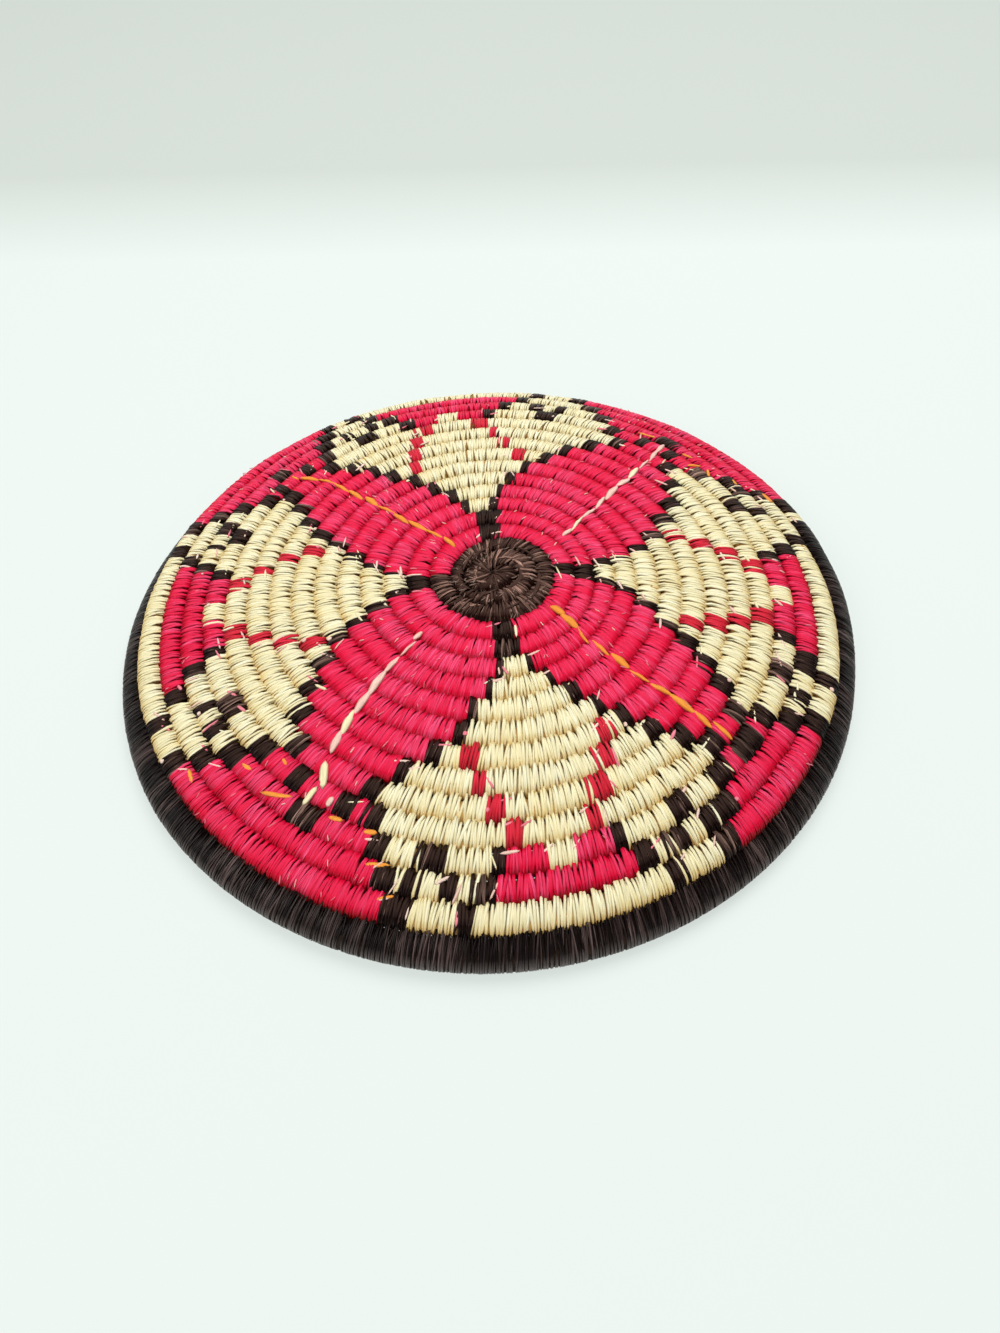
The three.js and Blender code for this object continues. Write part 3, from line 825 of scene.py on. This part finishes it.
def ribbon_points(path, coil, row, angle, width, above, thickness):
    """Flat strands over the rows: four points round each step by row and angle, square to its way."""
    turn = chart_turn(row, angle)
    radius, = path.at(turn, "radius")
    across = np.gradient(row, axis=-1) * coil.row_pitch
    ahead = np.gradient(np.radians(angle), axis=-1) * radius
    half = STRAND_EDGES * (width / np.hypot(across, ahead))[..., None] / 2
    lift = above[..., None] + thickness * STRAND_ARCH
    sides = -ahead[..., None] * half, lift, across[..., None] * half
    return path.points(turn[..., None], *sides, np.radians(angle)[..., None])


def seen_colour(colour):
    """Linear colour with full alpha from a colour as it is seen, by the usual curve of screens."""
    seen = np.array(colour)
    linear = np.where(seen <= 0.04045, seen / 12.92, ((seen + 0.055) / 1.055) ** 2.4)
    return (*linear.tolist(), 1.0)


def new_material(name):
    """Empty node material, its nodes, its links and its surface shader."""
    material = bpy.data.materials.new(name)
    material.use_nodes = True
    nodes = material.node_tree.nodes
    return material, nodes, material.node_tree.links, nodes["Principled BSDF"]


def mixed(nodes, links, factor, first, second, blend="MIX"):
    """Colour mix of two colours or sockets by a factor or socket."""
    mix = nodes.new("ShaderNodeMix")
    mix.data_type = "RGBA"
    mix.blend_type = blend
    for place, value in zip(MIX_INPUTS, (factor, first, second)):
        socket = mix.inputs[place]
        if isinstance(value, bpy.types.NodeSocket):
            links.new(value, socket)
        else:
            socket.default_value = value
    return mix.outputs[MIX_OUTPUT]


def ranged(nodes, links, value, source, target=(0.0, 1.0)):
    """A value moved from one range to another, kept inside it."""
    node = nodes.new("ShaderNodeMapRange")
    node.clamp = True
    links.new(value, node.inputs[0])
    for socket, number in zip(node.inputs[1:5], (*source, *target)):
        socket.default_value = number
    return node.outputs[0]


def fibre_noise(nodes, links, across, along, detail):
    """Noise drawn out along the strand, from its own coordinates."""
    place = nodes.new("ShaderNodeUVMap")
    place.uv_map = "strand"
    mapping = nodes.new("ShaderNodeMapping")
    mapping.inputs["Scale"].default_value = (across, along, 1.0)
    links.new(place.outputs["UV"], mapping.inputs["Vector"])
    noise = nodes.new("ShaderNodeTexNoise")
    noise.inputs["Scale"].default_value = 1.0
    noise.inputs["Detail"].default_value = detail
    noise.inputs["Roughness"].default_value = FIBRE_ROUGHNESS
    links.new(mapping.outputs["Vector"], noise.inputs["Vector"])
    return noise.outputs[0]


def attribute(nodes, name, output="Fac"):
    """Output of a point attribute of the mesh."""
    node = nodes.new("ShaderNodeAttribute")
    node.attribute_name = name
    return node.outputs[output]


def coordinate(nodes, links, kind, axis):
    """One axis of a kind of coordinates."""
    place = nodes.new("ShaderNodeTexCoord")
    parts = nodes.new("ShaderNodeSeparateXYZ")
    links.new(place.outputs[kind], parts.inputs[0])
    return parts.outputs[axis]


def seen_share(nodes, links, share):
    """A share of what the camera, reflections and glass see, and nothing of other light."""
    path = nodes.new("ShaderNodeLightPath")
    total = path.outputs["Is Camera Ray"]
    for name in ("Is Glossy Ray", "Is Transmission Ray"):
        most = nodes.new("ShaderNodeMath")
        most.operation = "MAXIMUM"
        links.new(total, most.inputs[0])
        links.new(path.outputs[name], most.inputs[1])
        total = most.outputs[0]
    part = nodes.new("ShaderNodeMath")
    part.operation = "MULTIPLY"
    links.new(total, part.inputs[0])
    part.inputs[1].default_value = share
    return part.outputs[0]


def join_surfaces(nodes, links, share, lit, seen, output):
    """Mixes a lit surface with a share of one that is only seen, into an output node."""
    mix = nodes.new("ShaderNodeMixShader")
    for socket, value in zip(mix.inputs, (seen_share(nodes, links, share), lit, seen)):
        links.new(value, socket)
    links.new(mix.outputs[0], output.inputs["Surface"])


def strand_material(name, colour, finish_and_light):
    """Dyed strand: its own shade, fibre lines, painted glints, a painted highlight on the crown and
    painted shade in the groove.
    """
    material, nodes, links, shader = new_material(name)
    seen = np.array(colour)
    light = seen_colour(finish_and_light.light)
    lightness = ranged(nodes, links, attribute(nodes, "shade"), (finish_and_light.few, 1.0))
    base = mixed(nodes, links, lightness, seen_colour(seen), light)
    fibre = fibre_noise(nodes, links, *STRAND_FIBRE)
    lines = ranged(nodes, links, fibre, LINE_RANGE)
    lined = mixed(nodes, links, lines, seen_colour(seen * LINE_SHADE), base)
    # Painted glints along the fibre, in the light colour
    glints = ranged(nodes, links, fibre, GLINT_RANGE, (0.0, GLINT_SHARE))
    glinting = mixed(nodes, links, glints, lined, light)
    crown = attribute(nodes, "crown")
    # Painted highlight on the crown of the row
    highlight = ranged(nodes, links, crown, HIGHLIGHT_RANGE, (0.0, finish_and_light.top))
    highlighted = mixed(nodes, links, highlight, glinting, light)
    # Painted shade toward the flanks and grooves; on the rim, a painted reflection of the floor on the
    # lower flank
    depth = ranged(nodes, links, crown, finish_and_light.deep)
    final = mixed(nodes, links, depth, highlighted, seen_colour(finish_and_light.groove))
    links.new(final, shader.inputs["Base Color"])
    roughness = (finish_and_light.roughness + DULL_RISE, finish_and_light.roughness)
    links.new(ranged(nodes, links, fibre, DULL_RANGE, roughness), shader.inputs["Roughness"])
    shader.inputs["Specular IOR Level"].default_value = finish_and_light.shine
    shader.inputs["Sheen Weight"].default_value = finish_and_light.sheen
    shader.inputs["Sheen Roughness"].default_value = SHEEN_ROUGHNESS
    bump = nodes.new("ShaderNodeBump")
    bump.inputs["Strength"].default_value = BUMP_STRENGTH
    bump.inputs["Distance"].default_value = BUMP_HEIGHT
    links.new(fibre, bump.inputs["Height"])
    links.new(bump.outputs["Normal"], shader.inputs["Normal"])
    return material


def dye_materials(context):
    """One material for each dye, in the order of the dyes, made once."""
    colours = context.scene.basket_dyes
    materials = []
    for dye in DYES:
        name = "dyed_" + dye
        made = bpy.data.materials.get(name)
        materials.append(made or strand_material(name, getattr(colours, dye), FINISHES_AND_LIGHT[dye]))
    return materials


def bundle_material(context):
    """Dry fibre of the bundle: tinted after the strands over it, in part painted bounce light, with
    darker lines along it, painted shade on its flanks, dull.
    """
    colour = seen_colour(context.scene.basket_dyes.bundle)
    material, nodes, links, shader = new_material("bundle_fibre")
    fibre = fibre_noise(nodes, links, *BUNDLE_FIBRE)
    lines = ranged(nodes, links, fibre, DULL_RANGE, (BUNDLE_LINES, 0.0))
    lined = mixed(nodes, links, lines, attribute(nodes, "bounce_tint", "Color"), colour)
    depth = ranged(nodes, links, attribute(nodes, "crown"), BUNDLE_DEEP)
    final = mixed(nodes, links, depth, lined, seen_colour(BUNDLE_SHADOW), "MULTIPLY")
    links.new(final, shader.inputs["Base Color"])
    shader.inputs["Roughness"].default_value = BUNDLE_ROUGHNESS
    return material


class BASKET_OT_bundle(Operator):
    """Fibre bundle inside the rows, one unbroken tube from the middle to the tip of the rim"""

    bl_idname = "basket.bundle"
    bl_label = "Bundle"

    def execute(self, context):
        """A round tube just inside the strands, tinted ring by ring after the dye over it, in part
        painted bounce light from those strands.
        """
        path = CoilPath(context.scene.basket_coil)
        turn = np.concatenate([[CENTRE_START], path.spaced_turns(BUNDLE_STEP), [COIL_END]])[:, None]
        theta = 2 * np.pi * np.arange(BUNDLE_SIDES) / BUNDLE_SIDES
        wide, tall = path.at(turn, "wide", "tall")
        x = BUNDLE_FILL * wide * np.cos(theta)
        y = BUNDLE_FILL * tall * np.sin(theta)
        points = path.points(turn, x, y, 0 * x, 2 * np.pi * turn)[None]
        crowns = np.sin(theta)[None, None, :]
        materials = [bundle_material(context)]
        mesh = strand_mesh("bundle", points, np.array([0]), BUNDLE_SHADE, crowns, materials, False)
        bounce_tints = np.array([seen_colour(FINISHES_AND_LIGHT[dye].bounce_tint) for dye in DYES])[strand_dyes(turn[:, 0])]
        bounce_tints = np.repeat(bounce_tints, BUNDLE_SIDES, axis=0).astype(np.float32)
        bounce_tint = mesh.attributes.new("bounce_tint", "FLOAT_COLOR", "POINT")
        bounce_tint.data.foreach_set("color", bounce_tints.ravel())
        close_tips(mesh)
        add_piece("bundle", mesh, "bundle", "foundation_coil")
        return {"FINISHED"}


class BASKET_OT_centre(Operator):
    """Dark strands round the first two turns"""

    bl_idname = "basket.centre"
    bl_label = "Centre"

    def execute(self, context):
        wrapped_zone(context, "centre", "dark_wrap", "centre_wrap", SEEDS["centre"])
        return {"FINISHED"}


class BASKET_OT_rim(Operator):
    """Dark slanting strands round the thick last turn"""

    bl_idname = "basket.rim"
    bl_label = "Rim"

    def execute(self, context):
        wrapped_zone(context, "rim", "dark_wrap", "rim_wrap", SEEDS["rim"])
        return {"FINISHED"}


class BASKET_OT_stems(Operator):
    """Four dark stems between the centre and the fields"""

    bl_idname = "basket.stems"
    bl_label = "Stems"

    def execute(self, context):
        wrapped_zones(context, "stem", FIELDS, "dark_wrap")
        return {"FINISHED"}


class BASKET_OT_petals(Operator):
    """Four pink petals"""

    bl_idname = "basket.petals"
    bl_label = "Petals"

    def execute(self, context):
        wrapped_zones(context, "petal", PETALS, "pink_wrap")
        return {"FINISHED"}


class BASKET_OT_fields(Operator):
    """Four cream fields with their outlines, accents, checks and hearts"""

    bl_idname = "basket.fields"
    bl_label = "Fields"

    def execute(self, context):
        wrapped_zones(context, "field", FIELDS, "cream_wrap")
        return {"FINISHED"}


class BASKET_OT_borders(Operator):
    """Four pink patches outside the petals"""

    bl_idname = "basket.borders"
    bl_label = "Borders"

    def execute(self, context):
        wrapped_zones(context, "border", PETALS, "pink_wrap")
        return {"FINISHED"}


class BASKET_OT_veins(Operator):
    """Runs of loose stitches over the petals, one on each row, thin where they dip between rows"""

    bl_idname = "basket.veins"
    bl_label = "Veins"

    width: length_setting("Width", "Mean width of a stitch", 2.1 * MM)

    def execute(self, context):
        """A stitch is a leaf over its row and both grooves, a little aside of the vein and aslant."""
        coil = context.scene.basket_coil
        path = CoilPath(coil)
        along = np.linspace(-1, 1, VEIN_STEPS)
        for seed, (name, (dye, corners)) in enumerate(VEINS.items(), SEEDS["vein"]):
            rng = np.random.default_rng(seed)
            first, last = corners[0][0], corners[-1][0]
            start, end = math.ceil(first - VEIN_SLACK), math.floor(last + VEIN_SLACK)
            middle = np.arange(start, end + 1)[:, None]
            half = rng.uniform(*VEIN_HALF, middle.shape)
            low = np.maximum(middle - half, first)
            high = np.minimum(middle + half, last)
            row = (low + high) / 2 + (high - low) / 2 * along
            stray = rng.normal(0, VEIN_STRAY, middle.shape)
            aside = (stray + rng.uniform(*VEIN_SLANT, middle.shape) * along) * MM
            angle = corner_value(corners, row) + np.degrees(aside / row_distance(coil, row))
            taper = 1 - VEIN_TAPER[0] * np.abs(along) ** VEIN_TAPER[1]
            width = self.width * rng.uniform(*VEIN_WIDTHS, middle.shape) * taper
            above = surface_height(path, row, angle) + VEIN_LIFT * coil.strand_thickness
            above = above - VEIN_DIP[0] * along ** VEIN_DIP[1]
            points = ribbon_points(path, coil, row, angle, width, above, VEIN_THICKNESS)
            dyes = rng.choice(VEIN_DYES[dye], len(middle))
            shades = rng.uniform(0, VEIN_SHADE, (len(middle), 1, 1))
            mesh = strand_mesh("vein_" + name, points, dyes, shades, 1.0, dye_materials(context), False)
            close_tips(mesh)
            add_piece("vein_" + name, mesh, dye + "_strand", "vein_strand_" + name)
        return {"FINISHED"}


class BASKET_OT_slivers(Operator):
    """Loose stitches of the chart, short pale ends and knots at the colour changes, and flecks"""

    bl_idname = "basket.slivers"
    bl_label = "Slivers"

    share: FloatProperty(
        name="Share", description="Part of the colour changes that show an end",
        default=0.6, subtype="FACTOR")
    petal_flecks: IntProperty(
        name="Petal flecks", description="Pale flecks on the pink rows", default=230)
    # The centre's brown flecks are painted glints.
    centre_flecks: IntProperty(
        name="Centre flecks", description="Hairs and worn flecks on the centre", default=110)

    def execute(self, context):
        """Each end is a flat leaf between two places of the chart, on the surface of its row."""
        coil = context.scene.basket_coil
        path = CoilPath(coil)
        rng = np.random.default_rng(SEEDS["sliver"])
        turns, dye, kind = self.places(path, coil, rng)
        row, angle = chart_place(turns)
        low, high = ENDS[kind, :, 0], ENDS[kind, :, 1]
        half, offset, slant, width = (low + (high - low) * rng.uniform(size=low.shape)).T
        radius = np.maximum(row_distance(coil, row + offset), LEAST_ROWS * coil.row_pitch)
        turned = np.degrees(slant * MM / radius)

        dyes, firsts, lasts, widths = zip(*STITCHES)
        dye = np.concatenate([dye, [DYES.index(name) for name in dyes]])
        first = np.concatenate([np.stack([row + offset - half, angle - turned], axis=-1), firsts])
        last = np.concatenate([np.stack([row + offset + half, angle + turned], axis=-1), lasts])
        width = np.concatenate([width * MM, widths])
        along = np.linspace(0, 1, LEAF_STEPS)
        row, angle = (first[:, None] + (last - first)[:, None] * along[:, None]).transpose(2, 0, 1)
        width = width[:, None] * np.maximum(4 * along * (1 - along), LEAF_TIP) ** LEAF_POWER
        above = surface_height(path, row, angle) + LEAF_LIFT * coil.strand_thickness
        points = ribbon_points(path, coil, row, angle, width, above, LEAF_THICKNESS)
        shades = rng.uniform(0, 1, (len(dye), 1, 1))
        mesh = strand_mesh("slivers", points, dye, shades, 1.0, dye_materials(context), False)
        close_tips(mesh)
        add_piece("slivers", mesh, "cream_strand")
        return {"FINISHED"}

    def places(self, path, coil, rng):
        """Turns, dyes and kinds of the ends and flecks that lie by chance."""
        turns = path.spaced_turns(coil.strand_width)
        dyes = strand_dyes(turns)
        change = np.flatnonzero(dyes[1:] != dyes[:-1])
        change = turns[change[rng.uniform(size=len(change)) < self.share]]
        change = change[(change > PATTERN_START) & (change < RIM_START)]
        end_dyes = rng.choice(END_DYES, len(change))
        petals = rng.choice(turns[dyes == PINK], self.petal_flecks)
        centre = rng.uniform(*HAIR_TURNS, self.centre_flecks)
        hairs = rng.choice(HAIRS, len(centre))
        ends = rng.choice(len(END_SHARES), len(change), p=END_SHARES)
        fleck_dyes = rng.choice(FLECK_DYES, len(petals))
        # Brown flecks on the centre are painted glints.
        hair_dyes = np.where(hairs == ALONG, UMBER, BROWN)
        kinds = np.concatenate([ends, np.full(len(petals), FLECK), hairs])
        dye = np.concatenate([end_dyes, fleck_dyes, hair_dyes])
        return np.concatenate([change, petals, centre]), dye, kinds


class BASKET_OT_stage(Operator):
    """Pale floor, soft lamps, even sky and the camera"""

    bl_idname = "basket.stage"
    bl_label = "Stage"

    def execute(self, context):
        stage = context.scene.basket_stage
        self.add_floor(context, stage)
        self.add_lamps(context, stage)
        self.add_sky(context, stage)
        self.add_camera(context, stage)
        context.scene.view_settings.view_transform = "Standard"
        return {"FINISHED"}

    def add_floor(self, context, stage):
        """A flat square that shows its colour, greyer far behind, and keeps the basket's shadow."""
        half = stage.floor_size / 2
        mesh = bpy.data.meshes.new("floor")
        corners = [(-half, -half, 0), (half, -half, 0), (half, half, 0), (-half, half, 0)]
        mesh.from_pydata(corners, [], [(0, 1, 2, 3)])
        material, nodes, links, shader = new_material("floor_paper")
        start = stage.backdrop_start
        place = coordinate(nodes, links, "Object", "Y")
        behind = ranged(nodes, links, place, (start, start + BACKDROP_BLEND))
        colours = seen_colour(stage.floor_colour), seen_colour(stage.backdrop_colour)
        colour = mixed(nodes, links, behind, *colours)
        links.new(colour, shader.inputs["Base Color"])
        shader.inputs["Roughness"].default_value = FLOOR_ROUGHNESS
        shader.inputs["Specular IOR Level"].default_value = FLOOR_SHINE
        glow = nodes.new("ShaderNodeEmission")
        links.new(colour, glow.inputs["Color"])
        output = nodes["Material Output"]
        join_surfaces(nodes, links, FLOOR_GLOW, shader.outputs[0], glow.outputs[0], output)
        mesh.materials.append(material)
        floor = bpy.data.objects.new("floor", mesh)
        context.scene.collection.objects.link(floor)

    def add_lamps(self, context, stage):
        """A broad lamp over the basket, behind it and not mirrored, and a weaker one on the left."""
        for name, size, place, share in LAMPS:
            data = bpy.data.lights.new(name, "AREA")
            data.shape = "DISK"
            data.size = size
            data.energy = stage.key_power * share
            lamp = bpy.data.objects.new(name, data)
            lamp.location = place
            lamp.rotation_euler = Vector(place).to_track_quat("Z", "Y").to_euler()
            lamp.visible_glossy = name != "key"
            context.scene.collection.objects.link(lamp)

    def add_sky(self, context, stage):
        """White light from all sides, seen as the colour of the floor up to a dark ceiling."""
        world = bpy.data.worlds.new("sky")
        world.use_nodes = True
        nodes = world.node_tree.nodes
        links = world.node_tree.links
        light = nodes["Background"]
        light.inputs["Color"].default_value = WHITE
        light.inputs["Strength"].default_value = stage.sky_strength
        seen = nodes.new("ShaderNodeBackground")
        rise = ranged(nodes, links, coordinate(nodes, links, "Generated", "Z"), CEILING_RANGE)
        colour = mixed(nodes, links, rise, seen_colour(stage.floor_colour), CEILING)
        links.new(colour, seen.inputs["Color"])
        join_surfaces(nodes, links, 1.0, light.outputs[0], seen.outputs[0], nodes["World Output"])
        context.scene.world = world

    def add_camera(self, context, stage):
        """A camera that looks along +Y, turned by its yaw, tipped down by its pitch and rolled."""
        data = bpy.data.cameras.new("camera")
        data.lens = stage.lens
        data.sensor_width = SENSOR
        camera = bpy.data.objects.new("camera", data)
        tip = Matrix.Rotation(math.pi / 2 - stage.camera_pitch, 4, "X")
        roll = Matrix.Rotation(stage.camera_roll, 4, "Z")
        yaw = Matrix.Rotation(stage.camera_yaw, 4, "Z")
        camera.matrix_world = Matrix.Translation(stage.camera_place) @ yaw @ tip @ roll
        context.scene.collection.objects.link(camera)
        context.scene.camera = camera


SETTINGS = {"basket_coil": CoilSettings, "basket_dyes": DyeSettings, "basket_stage": StageSettings}
OPERATORS = (
    BASKET_OT_bundle,
    BASKET_OT_centre,
    BASKET_OT_rim,
    BASKET_OT_stems,
    BASKET_OT_petals,
    BASKET_OT_fields,
    BASKET_OT_borders,
    BASKET_OT_veins,
    BASKET_OT_slivers,
    BASKET_OT_stage,
)


class BASKET_PT_sidebar(Panel):
    """Sizes, dyes and pieces of the basket"""

    bl_idname = "BASKET_PT_sidebar"
    bl_label = "Coiled basket"
    bl_space_type = "VIEW_3D"
    bl_region_type = "UI"
    bl_category = "Basket"

    def draw(self, context):
        for title in SETTINGS:
            settings = getattr(context.scene, title)
            box = self.layout.box()
            for name in settings.__annotations__:
                box.prop(settings, name)
        for operator in OPERATORS:
            self.layout.operator(operator.bl_idname)


CLASSES = (*SETTINGS.values(), *OPERATORS, BASKET_PT_sidebar)


def register():
    """Registers the classes and puts the settings on the scene."""
    for cls in CLASSES:
        bpy.utils.register_class(cls)
    for name, cls in SETTINGS.items():
        setattr(bpy.types.Scene, name, PointerProperty(type=cls))


def unregister():
    """Takes the settings off the scene and the classes out again."""
    for name in SETTINGS:
        delattr(bpy.types.Scene, name)
    for cls in reversed(CLASSES):
        bpy.utils.unregister_class(cls)


def main():
    """Builds the basket and the stage."""
    register()
    bpy.ops.basket.bundle()
    bpy.ops.basket.centre()
    bpy.ops.basket.rim()
    bpy.ops.basket.stems()
    bpy.ops.basket.petals()
    bpy.ops.basket.fields()
    bpy.ops.basket.borders()
    bpy.ops.basket.veins()
    bpy.ops.basket.slivers()
    bpy.ops.basket.stage()


if __name__ == "__main__":
    main()
